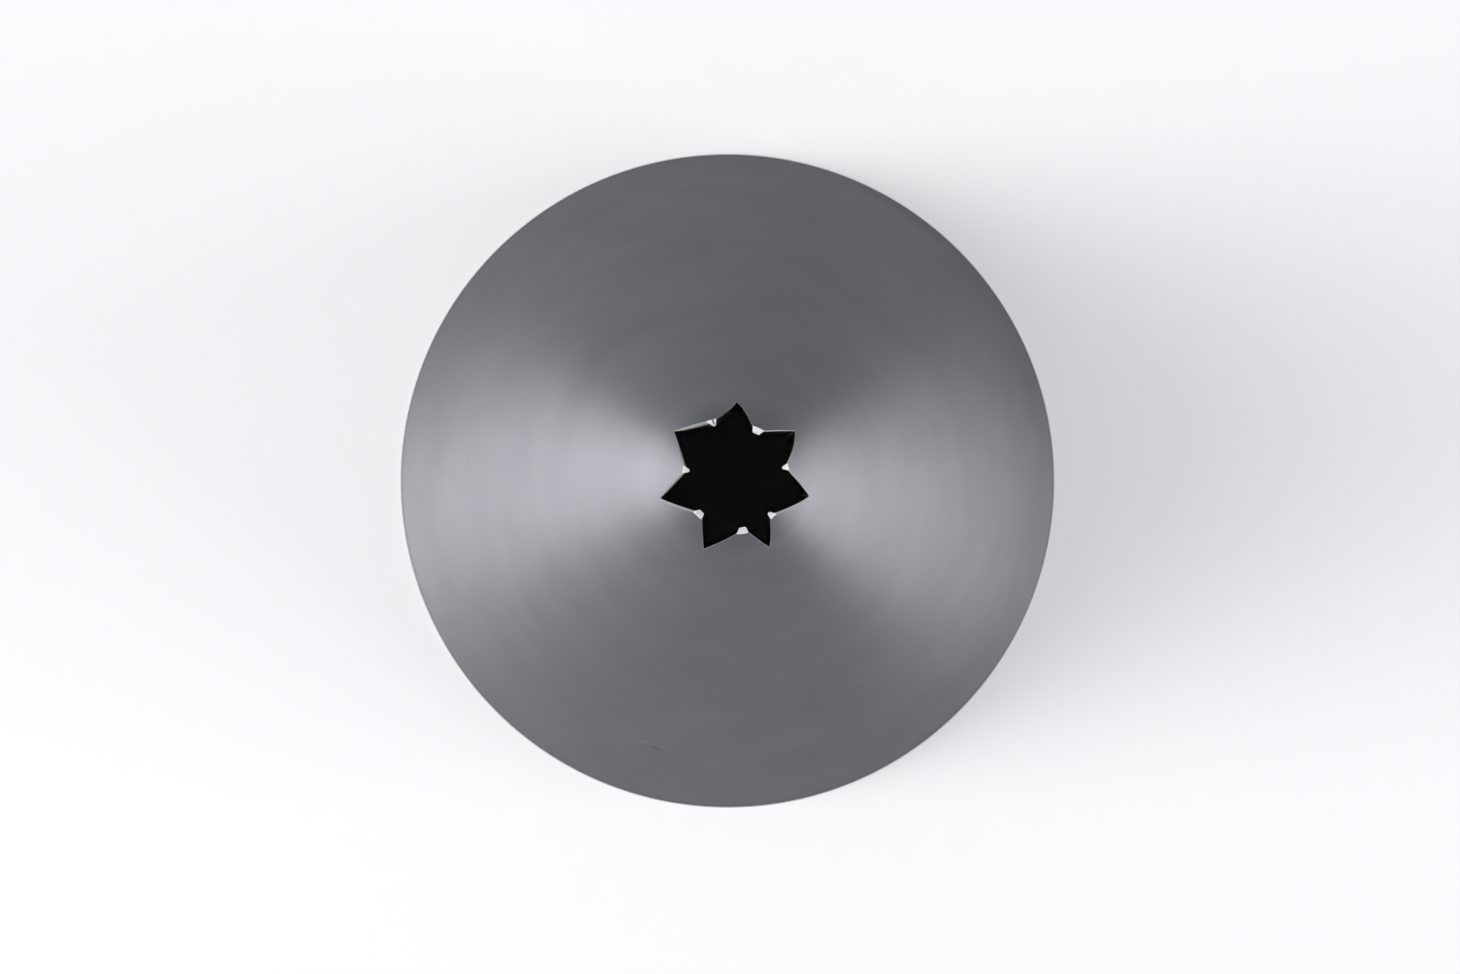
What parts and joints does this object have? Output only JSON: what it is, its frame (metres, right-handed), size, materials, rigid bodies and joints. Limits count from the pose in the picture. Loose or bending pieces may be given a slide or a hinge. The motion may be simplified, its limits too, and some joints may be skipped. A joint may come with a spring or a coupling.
{
  "type": "star piping nozzle",
  "caption": "Tapered stainless steel piping nozzle, a thin seamless cone with a small star-shaped mouth cut into its tip.",
  "frame": {"origin": "centre of the wide rim, on the surface that the nozzle stands on", "axes": "+Z along the nozzle's axis, from the wide rim to the star; +Y points to the star's topmost point in the picture's view"},
  "size_m": [0.034, 0.034, 0.05],
  "materials": {
    "steel": "satin, finely brushed round the axis"
  },
  "bodies": {
    "root": {"star_nozzle": "steel"}
  },
  "joints": []
}
